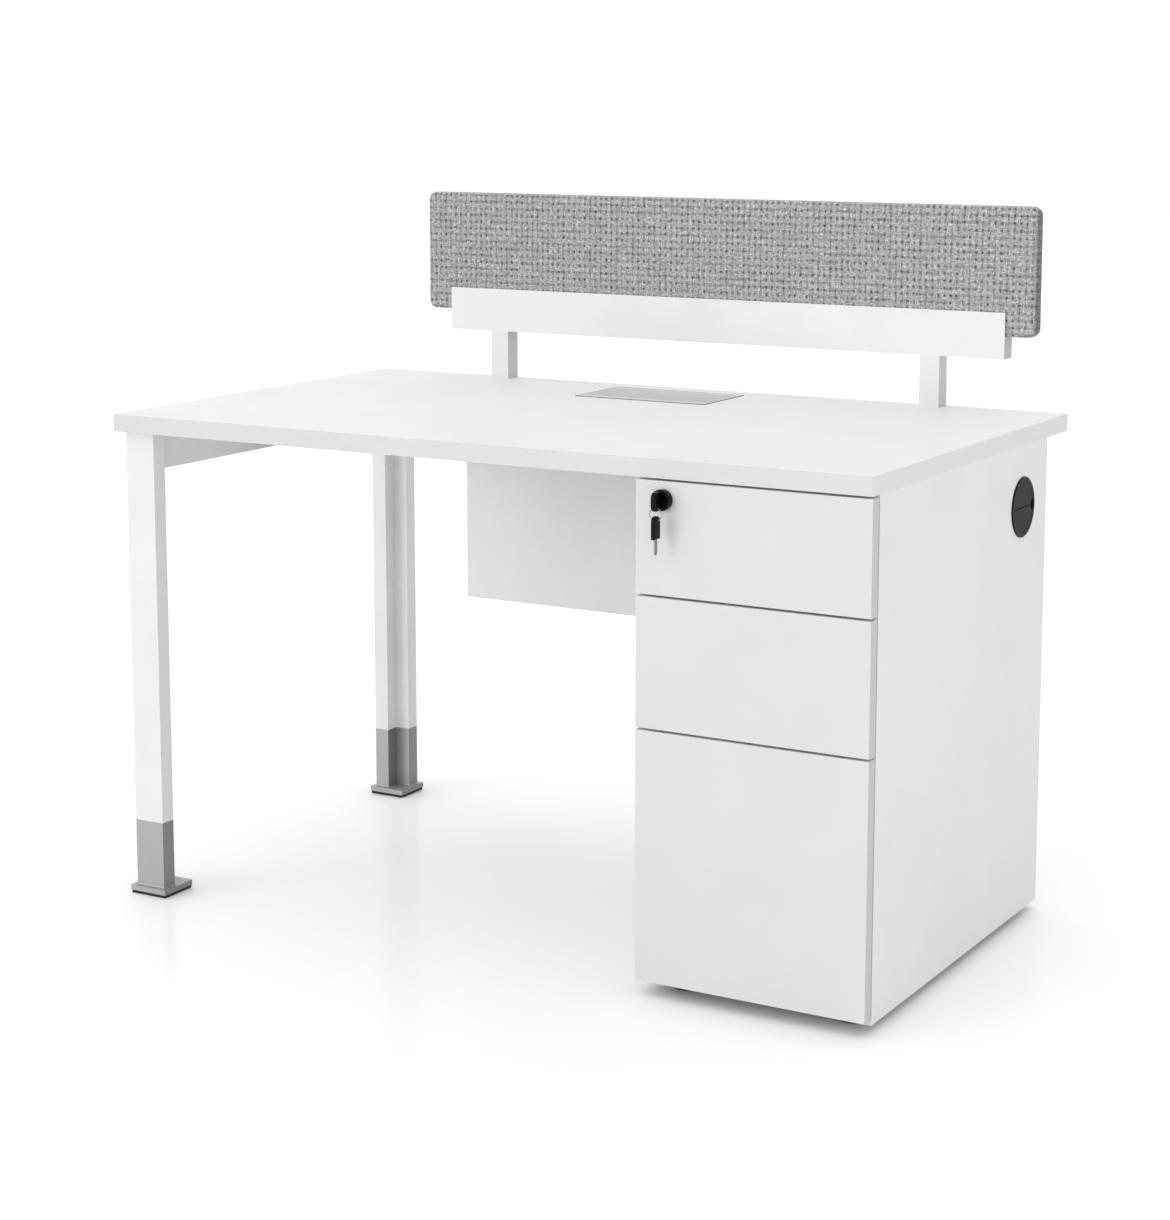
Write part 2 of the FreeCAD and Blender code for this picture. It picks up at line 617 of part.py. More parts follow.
def make_keys():
    blade_height = "keyway_height - 2 * blade_clearance"
    blade_width = "keyway_width - 2 * blade_clearance"
    block("key_blade", ("lock_x - (%s) / 2" % blade_width, "0 - key_back",
                        "lock_z - (%s) / 2" % blade_height),
          (blade_width, "key_blade_length", blade_height))
    half = "key_thickness / 2"
    head = new_body("key_head", "lock_x - %s" % half, "0 - key_reach", "lock_z - key_height / 2")
    key_bow(head, "key_length", "key_height", "key_round", lambda p: True,
            "key_length - key_hole_inset", "key_hole_rise")
    ring = facing_front(new_body("key_ring", "lock_x", "ring_y", "ring_z"))
    revolve(ring, octagon("ring_radius", "0", "ring_wire"))
    spare = new_body("spare_key_head", "lock_x - %s" % half, "ring_y - spare_width / 2",
                     "spare_top_z - spare_height")
    middle = length("spare_height") / 2
    key_bow(spare, "spare_width", "spare_height", "spare_round", lambda p: p.z > middle,
            "spare_width / 2", "spare_height - spare_hole_drop")
    blade = new_body("spare_key_blade", "lock_x - spare_blade_thickness / 2",
                     "ring_y - spare_blade_width / 2",
                     "spare_top_z - spare_height - spare_blade_length")
    tip = "spare_blade_width / 2"
    pad(blade, draw(blade, "YZ", [[(tip, "0"), ("spare_blade_width", tip),
                                   ("spare_blade_width", "spare_blade_length"),
                                   ("0", "spare_blade_length"), ("0", tip)]]),
        "spare_blade_thickness")


def key_bow(part, width, height, round_size, rounded, hole_y, hole_z):
    """The moulded head of a key: rounded corners, bevelled edges and a hole for the ring."""
    pad(part, draw(part, "YZ", [rectangle("0", "0", width, height)]), "key_thickness")
    ease(part, straight_edges(part, 0, rounded), round_size)
    rims = level_edges(part, 0, 0.0) + level_edges(part, 0, length("key_thickness"))
    bevel(part, rims, "key_edge")
    pocket(part, draw(part, "YZ", [(hole_y, hole_z, "key_hole_radius")], "0 - overrun"),
           "key_thickness + 2 * overrun", True)


# Cable grommet in the right side panel: a flanged ring with a bar across and two hinged flaps.
# Its pieces are drawn upright and laid over, so their top faces out of the panel.
def facing_right(part):
    part.Placement.Rotation = FreeCAD.Rotation(Vector(0, 1, 0), 90)
    return part


def make_grommet():
    ring = facing_right(new_body("grommet_ring", "desk_width", "grommet_y", "grommet_z"))
    depth = "0 - grommet_barrel_depth"
    revolve(ring, [("grommet_inner", depth), ("grommet_outer", depth), ("grommet_outer", "0"),
                   ("grommet_flange_radius", "0"),
                   ("grommet_flange_radius", "grommet_proud - flange_round"),
                   ("grommet_flange_radius - flange_round", "grommet_proud"),
                   ("grommet_inner", "grommet_proud")])
    bar_top = "grommet_proud - 2 * grommet_fit - flap_thickness"
    bar = centred("grommet_bar_width", "2 * grommet_inner + grommet_barrel_wall")
    pad(ring, draw(ring, "XY", [bar], "%s - grommet_bar_depth" % bar_top), "grommet_bar_depth")
    for name, low in (("upper", "0 - flap_gap / 2"), ("lower", "0 - flap_radius - overrun")):
        flap = facing_right(new_body("grommet_%s_flap" % name, "flap_back_x", "grommet_y",
                                     "grommet_z"))
        pad(flap, draw(flap, "XY", [("0", "0", "flap_radius")]), "flap_thickness")
        away = rectangle(low, "0 - flap_radius - overrun", "flap_radius + overrun + flap_gap / 2",
                         "2 * flap_radius + 2 * overrun")
        pocket(flap, draw(flap, "XY", [away], "0 - overrun"), "flap_thickness + 2 * overrun", True)
        notch = ("0", "flap_radius", "cable_notch_radius")
        pocket(flap, draw(flap, "XY", [notch], "0 - overrun"), "flap_thickness + 2 * overrun", True)
        finger = ("0", "finger_hole_inset - flap_radius", "finger_hole_radius")
        pocket(flap, draw(flap, "XY", [finger], "0 - overrun"), "flap_thickness + 2 * overrun", True)


# Power box: a frame let into the desktop, a hinged lid, a hanging tray and a socket strip.
def make_power_box():
    frame = new_body("power_frame", "power_x", "power_y", "power_frame_z")
    skirt_at = "power_lip + power_fit"
    pad(frame, draw(frame, "XY", [rectangle(skirt_at, skirt_at, "skirt_width", "skirt_depth")]),
        "power_skirt")
    pad(frame, draw(frame, "XY", [rectangle("0", "0", "power_width", "power_depth")],
                    "power_skirt"), "power_rebate + power_proud")
    opening = rectangle("power_side", "power_strip", "lid_open_width", "lid_open_depth")
    pocket(frame, draw(frame, "XY", [opening], "power_frame_height"),
           "lid_thickness + lid_clearance")
    through = rectangle("power_side + power_ledge", "power_strip + power_ledge",
                        "lid_open_width - 2 * power_ledge", "lid_open_depth - 2 * power_ledge")
    pocket(frame, draw(frame, "XY", [through], "0 - overrun"),
           "power_frame_height + 2 * overrun", True)
    pin_y = "power_strip + lid_open_depth - lid_clearance - lid_thickness / 2"
    pin_z = "power_frame_height - lid_thickness / 2"
    bore = (pin_y, pin_z, "lid_pin_radius + lid_pin_clearance")
    pin_room = "lid_pin_length + lid_clearance"
    pocket(frame, draw(frame, "YZ", [bore], "power_side - (%s)" % pin_room),
           "lid_open_width + 2 * (%s)" % pin_room, True)
    lid = new_body("power_lid", "power_x + power_side + lid_clearance",
                   "power_y + power_strip + lid_clearance",
                   "desk_height + power_proud - lid_thickness")
    axis_y = "lid_depth - lid_thickness / 2"
    pad(lid, draw(lid, "YZ", [rectangle("0", "0", axis_y, "lid_thickness")]), "lid_width")
    pad(lid, draw(lid, "YZ", [(axis_y, "lid_thickness / 2", "lid_thickness / 2")]), "lid_width")
    pad(lid, draw(lid, "YZ", [(axis_y, "lid_thickness / 2", "lid_pin_radius")],
                  "0 - lid_pin_length"), "lid_width + 2 * lid_pin_length")
    tray = new_body("power_tray", "power_x + %s" % skirt_at, "power_y + %s" % skirt_at,
                    "power_bottom_z")
    pad(tray, draw(tray, "XY", [rectangle("0", "0", "skirt_width", "skirt_depth")]), "tray_depth")
    inside = rectangle("tray_wall", "tray_wall", "skirt_width - 2 * tray_wall",
                       "skirt_depth - 2 * tray_wall")
    pocket(tray, draw(tray, "XY", [inside], "tray_wall"), "tray_depth", True)
    outlet = ("tray_outlet_inset", "tray_outlet_inset", "tray_outlet_radius")
    pocket(tray, draw(tray, "XY", [outlet], "0 - overrun"), "tray_wall + 2 * overrun", True)
    make_socket_strip()


def make_socket_strip():
    strip = block("socket_strip",
                  ("power_x + power_width / 2 - socket_length / 2",
                   "power_y + power_depth - power_lip - power_fit - tray_wall - socket_side_gap"
                   " - socket_width", "power_bottom_z + tray_wall"),
                  ("socket_length", "socket_width", "socket_height"))
    wells = [("socket_length / 2 + (%d) * socket_pitch" % step, "socket_width / 2", "socket_radius")
             for step in (-1, 0, 1)]
    pocket(strip, draw(strip, "XY", wells, "socket_height"), "socket_recess")
    holes = [octagon("%s + (%d) * socket_pin_spread" % (u, side), v, "socket_pin_radius")
             for u, v, radius in wells for side in (-1, 1)]
    pocket(strip, draw(strip, "XY", holes, "socket_height - socket_recess"), "socket_pin_depth")


# Screen: two posts on the desktop's back edge, a channel on them and a padded fabric panel in it.
def make_screen():
    for side, sign in (("left", "-"), ("right", "+")):
        x = "post_centre_x %s post_spacing / 2 - post_width / 2" % sign
        post = block("screen_post_" + side, (x, "channel_y", "post_z"),
                     ("post_width", "post_depth", "post_height"))
        hollow = rectangle("post_wall", "post_wall", "post_width - 2 * post_wall",
                           "post_depth - 2 * post_wall")
        pocket(post, draw(post, "XY", [hollow], "post_base"), "post_height", True)
    channel = new_body("screen_channel", "screen_centre_x - channel_length / 2", "channel_y",
                       "channel_z")
    floor = "channel_height - channel_slot"
    web = "%s - channel_web" % floor
    far = "post_depth - channel_wall"
    section = [("0", "0"), ("channel_wall", "0"), ("channel_wall", web), (far, web), (far, "0"),
               ("post_depth", "0"), ("post_depth", "channel_height"), (far, "channel_height"),
               (far, floor), ("channel_wall", floor), ("channel_wall", "channel_height"),
               ("0", "channel_height")]
    pad(channel, draw(channel, "YZ", [section]), "channel_length")
    for level in ("0", "channel_length - channel_wall"):
        pad(channel, draw(channel, "YZ", [rectangle("0", "0", "post_depth", web)], level),
            "channel_wall")
    panel = new_body("screen_panel", "screen_centre_x - screen_width / 2",
                     "channel_y + channel_wall + screen_fit", "screen_z")
    pad(panel, draw(panel, "XZ", [rectangle("0", "0", "screen_width", "screen_height")]),
        "screen_thickness", True)
    ease(panel, straight_edges(panel, 1, lambda p: True), "screen_corner")
    rims = level_edges(panel, 1, 0.0) + level_edges(panel, 1, length("screen_thickness"))
    bevel(panel, rims, "screen_bevel")


def save_pieces():
    """Check every object and piece, then write one file for each piece."""
    doc.recompute()
    for item in doc.Objects:
        if "Invalid" in item.State or "Error" in item.State:
            raise RuntimeError("%s failed" % item.Label)
    os.makedirs("parts", exist_ok=True)
    for piece in pieces:
        if piece.Shape.isNull() or not piece.Shape.isValid():
            raise RuntimeError("%s has no valid shape" % piece.Label)
        piece.Shape.exportStep("parts/%s.step" % piece.Label)


make_desktop()
make_frame()
make_modesty()
make_carcass()
make_drawers()
make_lock()
make_keys()
make_grommet()
make_power_box()
make_screen()
save_pieces()
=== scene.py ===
import math

import bmesh
import bpy
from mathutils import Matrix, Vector, noise


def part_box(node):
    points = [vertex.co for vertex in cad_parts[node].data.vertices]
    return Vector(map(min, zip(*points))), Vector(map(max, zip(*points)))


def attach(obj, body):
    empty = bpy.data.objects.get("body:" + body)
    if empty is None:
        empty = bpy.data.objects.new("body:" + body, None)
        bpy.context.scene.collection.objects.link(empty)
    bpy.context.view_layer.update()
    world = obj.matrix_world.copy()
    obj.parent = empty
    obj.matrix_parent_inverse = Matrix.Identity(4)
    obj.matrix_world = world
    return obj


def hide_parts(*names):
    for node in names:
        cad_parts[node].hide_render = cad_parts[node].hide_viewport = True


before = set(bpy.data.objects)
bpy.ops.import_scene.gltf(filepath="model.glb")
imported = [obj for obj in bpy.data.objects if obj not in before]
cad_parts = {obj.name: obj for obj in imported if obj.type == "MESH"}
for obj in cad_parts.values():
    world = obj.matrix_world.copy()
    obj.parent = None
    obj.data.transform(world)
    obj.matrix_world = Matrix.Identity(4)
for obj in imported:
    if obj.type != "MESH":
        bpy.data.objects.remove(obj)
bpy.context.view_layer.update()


# Viewpoint: a camera in front of the desk's right end, at chest height, that looks a little down
# on it. The lens is long, so the desk's lines hardly run together.
CAMERA_PLACE = (1.84832, -3.20356, 1.19865)
CAMERA_DIP = 0.1476
CAMERA_YAW = 0.5239
CAMERA_SENSOR = 36
CAMERA_LENS = 75.94
CAMERA_SHIFT = -0.12
CAMERA_SIGHT = 100

camera = bpy.data.objects.new("camera", bpy.data.cameras.new("camera"))
camera.location = CAMERA_PLACE
camera.rotation_euler = (math.pi / 2 - CAMERA_DIP, 0, CAMERA_YAW)
camera.data.sensor_width = CAMERA_SENSOR
camera.data.lens = CAMERA_LENS
camera.data.shift_y = CAMERA_SHIFT
camera.data.clip_end = CAMERA_SIGHT
bpy.context.scene.collection.objects.link(camera)
bpy.context.scene.camera = camera
bpy.context.scene.view_settings.view_transform = "Standard"


# Studio: a white tent that is brighter overhead and darker at the right, a large soft lamp low
# down before the desk's left end, a soft box beside the pedestal, and a pale glossy floor that
# keeps the desk's soft shadow.
TENT_LIGHT = 0.82
TENT_OVERHEAD = 0.62
TENT_RIGHT = -0.66
MAIN_LAMP_WAY = (-0.55, -0.75, 0.12)
MAIN_LAMP_STRENGTH = 0.62
MAIN_LAMP_SPREAD = 24
SOFT_BOX_PLACE = (2.5, -0.5, 0.28)
SOFT_BOX_WAY = (1.0, -0.25, -0.02)
SOFT_BOX_SIZE = (1.4, 0.5)
SOFT_BOX_POWER = 8.2
FLOOR_SIZE = 40.0
FLOOR_DEPTH = 0.0005
FLOOR_SEEN = "#F4F4F4"
FLOOR_BOUNCE = "#D0D0D0"
FLOOR_GLOSS = "#5A5A5A"
FLOOR_GLOSS_ROUGH = 0.16
WHITE = (1, 1, 1, 1)


def linear(colour):
    """An sRGB hex colour in the linear values that the sockets take."""
    parts = [int(colour[i:i + 2], 16) / 255 for i in (1, 3, 5)]
    return (*(c / 12.92 if c <= 0.04045 else ((c + 0.055) / 1.055) ** 2.4 for c in parts), 1)


def add_node(tree, kind, inputs=None, **settings):
    """Add one node with its settings. An input takes a value or the socket that feeds it."""
    node = tree.nodes.new(kind)
    for name, value in settings.items():
        setattr(node, name, value)
    for name, value in (inputs or {}).items():
        if isinstance(value, bpy.types.NodeSocket):
            tree.links.new(value, node.inputs[name])
        else:
            node.inputs[name].default_value = value
    return node


def seen_directly(tree):
    """1 for a ray from the camera, from gloss or through glass, and 0 for diffuse light."""
    rays = add_node(tree, "ShaderNodeLightPath").outputs
    gloss = add_node(tree, "ShaderNodeMath", {0: rays["Is Camera Ray"], 1: rays["Is Glossy Ray"]},
                     operation="MAXIMUM")
    return add_node(tree, "ShaderNodeMath", {0: gloss.outputs[0], 1: rays["Is Transmission Ray"]},
                    operation="MAXIMUM").outputs[0]


tent = bpy.data.worlds.new("white_tent")
tent.use_nodes = True
tree = tent.node_tree
tree.nodes.clear()
way = add_node(tree, "ShaderNodeTexCoord").outputs["Generated"]
part = add_node(tree, "ShaderNodeSeparateXYZ", {"Vector": way})
above = add_node(tree, "ShaderNodeMath", {0: part.outputs["Z"], 1: 0.0}, operation="MAXIMUM")
beside = add_node(tree, "ShaderNodeMath", {0: part.outputs["X"], 1: 0.0}, operation="MAXIMUM")
strength = add_node(tree, "ShaderNodeMath", {0: above.outputs[0], 1: TENT_OVERHEAD, 2: TENT_LIGHT},
                    operation="MULTIPLY_ADD")
strength = add_node(tree, "ShaderNodeMath", {0: beside.outputs[0], 1: TENT_RIGHT,
                                             2: strength.outputs[0]}, operation="MULTIPLY_ADD")
lighting = add_node(tree, "ShaderNodeBackground", {"Strength": strength.outputs[0],
                                                   "Color": WHITE})
shown = add_node(tree, "ShaderNodeBackground", {"Strength": 1.0, "Color": WHITE})
either = add_node(tree, "ShaderNodeMixShader", {0: seen_directly(tree), 1: lighting.outputs[0],
                                                2: shown.outputs[0]})
add_node(tree, "ShaderNodeOutputWorld", {"Surface": either.outputs[0]})
bpy.context.scene.world = tent


def add_lamp(name, kind, way, strength):
    """A lamp whose light comes from that way."""
    lamp = bpy.data.objects.new(name, bpy.data.lights.new(name, kind))
    lamp.data.energy = strength
    lamp.rotation_euler = Vector(way).to_track_quat("Z", "Y").to_euler()
    bpy.context.scene.collection.objects.link(lamp)
    return lamp


main_lamp = add_lamp("main_lamp", "SUN", MAIN_LAMP_WAY, MAIN_LAMP_STRENGTH)
main_lamp.data.angle = math.radians(MAIN_LAMP_SPREAD)
soft_box = add_lamp("soft_box", "AREA", SOFT_BOX_WAY, SOFT_BOX_POWER)
soft_box.location = SOFT_BOX_PLACE
soft_box.data.shape = "RECTANGLE"
soft_box.data.size, soft_box.data.size_y = SOFT_BOX_SIZE

floor_mesh = bpy.data.meshes.new("studio_floor")
half = FLOOR_SIZE / 2
ground = [(x, y, -FLOOR_DEPTH)
          for x, y in ((-half, -half), (half, -half), (half, half), (-half, half))]
floor_mesh.from_pydata(ground, [], [(0, 1, 2, 3)])
floor = bpy.data.objects.new("studio_floor", floor_mesh)
bpy.context.scene.collection.objects.link(floor)
paper = bpy.data.materials.new("white_paper_roll")
paper.use_nodes = True
tree = paper.node_tree
tree.nodes.clear()
tint = add_node(tree, "ShaderNodeMixRGB", {"Fac": seen_directly(tree),
                                           "Color1": linear(FLOOR_BOUNCE),
                                           "Color2": linear(FLOOR_SEEN)})
sheet = add_node(tree, "ShaderNodeBsdfDiffuse", {"Color": tint.outputs[0]})
polish = add_node(tree, "ShaderNodeBsdfGlossy", {"Color": linear(FLOOR_GLOSS),
                                                 "Roughness": FLOOR_GLOSS_ROUGH})
both = add_node(tree, "ShaderNodeAddShader", {0: sheet.outputs[0], 1: polish.outputs[0]})
add_node(tree, "ShaderNodeOutputMaterial", {"Surface": both.outputs[0]})
floor_mesh.materials.append(paper)


# Left legs and side rail: cold rolled steel tube, welded, then powder coated white and baked.
# The coat has a faint orange peel and a soft satin gloss.
DRIFTS_PER_METRE = 9.0
TONE_SPAN = (0.12, 0.38)
NOISE_SPAN = (0.3, 0.7)
SIDE_SHADE_TURN = (0.6, 0.9)


def new_material(name, uniform):
    """A material with one shader, whose uniform values are set on the shader itself."""
    material = bpy.data.materials.new(name)
    material.use_nodes = True
    tree = material.node_tree
    shader = tree.nodes["Principled BSDF"]
    for socket, value in uniform.items():
        shader.inputs[socket].default_value = value
    place = add_node(tree, "ShaderNodeTexCoord").outputs["Object"]
    return material, tree, shader, place


def coated(name, light, dark, grain, relief, rough, uniform=None):
    """A painted or moulded surface: a fine grain in relief, with slow drifts of colour and gloss.

    The colours are the ends of the drift. The grain's width and relief are in metres. Rough is
    the least and the most roughness."""
    material, tree, shader, place = new_material(name, uniform or {})
    peel = add_node(tree, "ShaderNodeTexNoise", {"Vector": place, "Scale": 1 / grain,
                                                 "Detail": 3.0})
    drift = add_node(tree, "ShaderNodeTexNoise", {"Vector": place, "Scale": DRIFTS_PER_METRE,
                                                  "Detail": 2.0})
    speck = add_node(tree, "ShaderNodeMath", {0: peel.outputs["Fac"], 1: drift.outputs["Fac"]},
                     operation="MULTIPLY")
    tone = add_node(tree, "ShaderNodeMapRange", {"Value": speck.outputs[0],
                                                 "From Min": TONE_SPAN[0],
                                                 "From Max": TONE_SPAN[1]})
    colour = add_node(tree, "ShaderNodeMixRGB", {"Fac": tone.outputs[0], "Color1": linear(dark),
                                                 "Color2": linear(light)})
    gloss = add_node(tree, "ShaderNodeMapRange", {"Value": drift.outputs["Fac"],
                                                  "From Min": NOISE_SPAN[0],
                                                  "From Max": NOISE_SPAN[1],
                                                  "To Min": rough[0], "To Max": rough[1]})
    bump = add_node(tree, "ShaderNodeBump", {"Height": peel.outputs["Fac"], "Strength": 1.0,
                                             "Distance": relief})
    tree.links.new(colour.outputs[0], shader.inputs["Base Color"])
    tree.links.new(gloss.outputs[0], shader.inputs["Roughness"])
    tree.links.new(bump.outputs[0], shader.inputs["Normal"])
    return material


def paint_side_shade(material, tint):
    """Darken the faces that look along X by multiplying their colour with the given one: painted
    shade on those sides.
    """
    tree = material.node_tree
    shader = tree.nodes["Principled BSDF"]
    before = shader.inputs["Base Color"].links[0].from_socket
    facing = add_node(tree, "ShaderNodeTexCoord").outputs["Normal"]
    across = add_node(tree, "ShaderNodeSeparateXYZ", {"Vector": facing})
    across = add_node(tree, "ShaderNodeMath", {0: across.outputs["X"]}, operation="ABSOLUTE")
    is_shaded_side = add_node(tree, "ShaderNodeMapRange", {"Value": across.outputs[0],
                                                   "From Min": SIDE_SHADE_TURN[0],
                                                   "From Max": SIDE_SHADE_TURN[1]})
    either = add_node(tree, "ShaderNodeMixRGB", {"Fac": is_shaded_side.outputs[0], "Color1": before,
                                                 "Color2": linear(tint)}, blend_type="MULTIPLY")
    tree.links.new(either.outputs[0], shader.inputs["Base Color"])


def dress(material, *names):
    """Give nodes of the frame their finish."""
    for name in names:
        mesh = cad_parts[name].data
        mesh.materials.clear()
        mesh.materials.append(material)


# The legs, rail, posts and channel share one coat, but the legs and rail are drawn a shade lighter
# than the posts and channel: the difference is painted light and shade.
leg_coat = coated("powder_coated_steel_white", "#F2F2F2", "#EBEBEB", grain=0.0022, relief=0.00005,
                  rough=(0.38, 0.5))
dress(leg_coat, "front_leg", "back_leg", "side_rail", "cross_beam")


# Feet: pressed steel sleeves with a flared plate, in a satin grey paint, on rubber pads.
# The paint has fine metal flake. The sleeves' faces that look along X are darkened in the colour
# as painted shade.
foot_paint = coated("metallic_grey_paint", "#ACACAC", "#A4A4A4", grain=0.0016, relief=0.00003,
                    rough=(0.32, 0.42), uniform={"Metallic": 0.4})
paint_side_shade(foot_paint, "#CECECE")
dress(foot_paint, "front_leg_foot", "back_leg_foot")
pad_rubber = coated("moulded_rubber", "#1B1B1B", "#131313", grain=0.0012, relief=0.00008,
                    rough=(0.75, 0.9))
dress(pad_rubber, "front_foot_pad", "back_foot_pad")


# Cross beam brackets and modesty panel angles: bent steel, blackened, and screwed on.
# The screws are zinc plated pan heads with a cross recess, turned as the driver left them.
SCREW_RADIUS = 0.0045
SCREW_HEAD = 0.0026
SCREW_SIDES = 16
DOME_WIDTHS = (1, 1, 0.86, 0.6)
DOME_HEIGHTS = (0, 0.45, 0.85, 1)
RECESS_REACH = 0.0024
RECESS_WAIST = 0.0009
RECESS_DEPTH = 0.0014
RECESS_TAPER = 0.55
SCREW_TURN = 1.5
SCREW_SEED = 7
SPANGLE_WIDTH = 0.006
SCRATCH_WIDTH = 0.0009
SCRATCH_RELIEF = 0.00002
ZINC_DARK = "#999C9F"
ZINC_LIGHT = "#B1B4B7"
ZINC_ROUGH = (0.36, 0.52)
BRACKET_SCREW_SIDE = 0.005
BRACKET_PLATE = 0.003
BEAM_BRACKET_RISE = 0.023
ANGLE_SCREW_END = 0.012
ANGLE_WALL = 0.0025

black_steel = coated("blackened_bent_steel", "#3A3B3C", "#303132", grain=0.0014, relief=0.00004,
                     rough=(0.42, 0.55), uniform={"Metallic": 0.6})
dress(black_steel, "beam_bracket_left", "beam_bracket_right", "modesty_angle_left",
      "modesty_angle_right")


def screw_head():
    """A pan head about the Z axis: a domed rim, a cross recess and its tapered floor."""
    turns = [2 * math.pi * i / SCREW_SIDES for i in range(SCREW_SIDES)]
    arms = [RECESS_WAIST + (RECESS_REACH - RECESS_WAIST) * max(0, math.cos(4 * t)) ** 2
            for t in turns]
    rings = [([SCREW_RADIUS * wide] * SCREW_SIDES, SCREW_HEAD * high)
             for wide, high in zip(DOME_WIDTHS, DOME_HEIGHTS)]
    rings += [(arms, SCREW_HEAD), ([a * RECESS_TAPER for a in arms], SCREW_HEAD - RECESS_DEPTH)]
    mesh = bmesh.new()
    loops = [[mesh.verts.new((r * math.cos(t), r * math.sin(t), z))
              for r, t in zip(radii, turns)] for radii, z in rings]
    for low, high in zip(loops, loops[1:]):
        for i in range(SCREW_SIDES):
            j = (i + 1) % SCREW_SIDES
            mesh.faces.new((low[i], low[j], high[j], high[i]))
    mesh.faces.new(loops[-1])
    mesh.faces.new(list(reversed(loops[0])))
    made = bpy.data.meshes.new("screw_head")
    mesh.to_mesh(made)
    mesh.free()
    return bpy.data.objects.new("screw_head", made)


# Zinc plate: its crystals show as faint patches about 6 mm wide, some duller than others.
zinc, tree, shader, place = new_material("zinc_plated_steel", {"Metallic": 1.0})
spangle = add_node(tree, "ShaderNodeTexVoronoi", {"Vector": place, "Scale": 1 / SPANGLE_WIDTH})
patch = add_node(tree, "ShaderNodeSeparateColor", {"Color": spangle.outputs["Color"]})
colour = add_node(tree, "ShaderNodeMixRGB", {"Fac": patch.outputs[0],
                                             "Color1": linear(ZINC_DARK),
                                             "Color2": linear(ZINC_LIGHT)})
gloss = add_node(tree, "ShaderNodeMapRange", {"Value": patch.outputs[1], "To Min": ZINC_ROUGH[0],
                                              "To Max": ZINC_ROUGH[1]})
scratch = add_node(tree, "ShaderNodeTexNoise", {"Vector": place, "Scale": 1 / SCRATCH_WIDTH,
                                                "Detail": 3.0})
bump = add_node(tree, "ShaderNodeBump", {"Height": scratch.outputs["Fac"], "Strength": 0.5,
                                         "Distance": SCRATCH_RELIEF})
tree.links.new(colour.outputs[0], shader.inputs["Base Color"])
tree.links.new(gloss.outputs[0], shader.inputs["Roughness"])
tree.links.new(bump.outputs[0], shader.inputs["Normal"])

screw_tree = bpy.data.node_groups.new("screws_on_points", "GeometryNodeTree")
screw_inputs = {name: screw_tree.interface.new_socket(name=name, in_out="INPUT", socket_type=kind)
                for name, kind in (("Points", "NodeSocketGeometry"), ("Head", "NodeSocketObject"),
                                   ("Size", "NodeSocketFloat"), ("Finish", "NodeSocketMaterial"))}
screw_tree.interface.new_socket(name="Screws", in_out="OUTPUT", socket_type="NodeSocketGeometry")
entry = add_node(screw_tree, "NodeGroupInput").outputs
facing = add_node(screw_tree, "GeometryNodeInputNamedAttribute", {"Name": "facing"},
                  data_type="FLOAT_VECTOR")
upright = add_node(screw_tree, "FunctionNodeAlignRotationToVector",
                   {"Vector": facing.outputs[0]}, axis="Z")
turn = add_node(screw_tree, "FunctionNodeRandomValue", {"Max": SCREW_TURN, "Seed": SCREW_SEED},
                data_type="FLOAT")
turn_about = add_node(screw_tree, "FunctionNodeAxisAngleToRotation",
                      {"Axis": (0, 0, 1), "Angle": turn.outputs[1]})
turned = add_node(screw_tree, "FunctionNodeRotateRotation",
                  {"Rotation": upright.outputs[0], "Rotate By": turn_about.outputs[0]},
                  rotation_space="LOCAL")
head = add_node(screw_tree, "GeometryNodeObjectInfo", {"Object": entry["Head"]})
planted = add_node(screw_tree, "GeometryNodeInstanceOnPoints",
                   {"Points": entry["Points"], "Instance": head.outputs["Geometry"],
                    "Rotation": turned.outputs[0], "Scale": entry["Size"]})
whole = add_node(screw_tree, "GeometryNodeRealizeInstances", {"Geometry": planted.outputs[0]})
painted = add_node(screw_tree, "GeometryNodeSetMaterial",
                   {"Geometry": whole.outputs[0], "Material": entry["Finish"]})
add_node(screw_tree, "NodeGroupOutput", {0: painted.outputs[0]})
pan_head = screw_head()


def plant_screws(name, places, body, size=1.0, finish=zinc):
    """Screw heads at points of the frame. A place is a point and the way that its head faces."""
    mesh = bpy.data.meshes.new(name)
    mesh.from_pydata([point for point, way in places], [], [])
    ways = mesh.attributes.new("facing", "FLOAT_VECTOR", "POINT")
    ways.data.foreach_set("vector", [c for point, way in places for c in way])
    row = bpy.data.objects.new(name, mesh)
    bpy.context.scene.collection.objects.link(row)
    screws = row.modifiers.new("screws", "NODES")
    screws.node_group = screw_tree
    screws[screw_inputs["Head"].identifier] = pan_head
    screws[screw_inputs["Size"].identifier] = size
    screws[screw_inputs["Finish"].identifier] = finish
    graph = bpy.context.evaluated_depsgraph_get()
    made = bpy.data.meshes.new_from_object(row.evaluated_get(graph), depsgraph=graph)
    row.modifiers.clear()
    row.data = made
    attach(row, body)
    return row


low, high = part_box("beam_bracket_left")
left_face = low.x + BRACKET_PLATE
height = low.z + BEAM_BRACKET_RISE
bracket_places = [((left_face, y, height), (1, 0, 0))
                  for y in (low.y + BRACKET_SCREW_SIDE, high.y - BRACKET_SCREW_SIDE)]
low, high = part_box("beam_bracket_right")
bracket_places += [((high.x - BRACKET_PLATE, y, height), (-1, 0, 0))
                   for y in (low.y + BRACKET_SCREW_SIDE, high.y - BRACKET_SCREW_SIDE)]
plant_screws("beam_bracket_screws", bracket_places, "desk")

angle_places = []
for name in ("modesty_angle_left", "modesty_angle_right"):
    low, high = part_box(name)
    for x in (low.x + ANGLE_SCREW_END, high.x - ANGLE_SCREW_END):
        angle_places.append(((x, low.y + ANGLE_SCREW_END, high.z - ANGLE_WALL), (0, 0, -1)))
        angle_places.append(((x, high.y - ANGLE_WALL, low.z + ANGLE_SCREW_END), (0, -1, 0)))
plant_screws("modesty_angle_screws", angle_places, "desk")
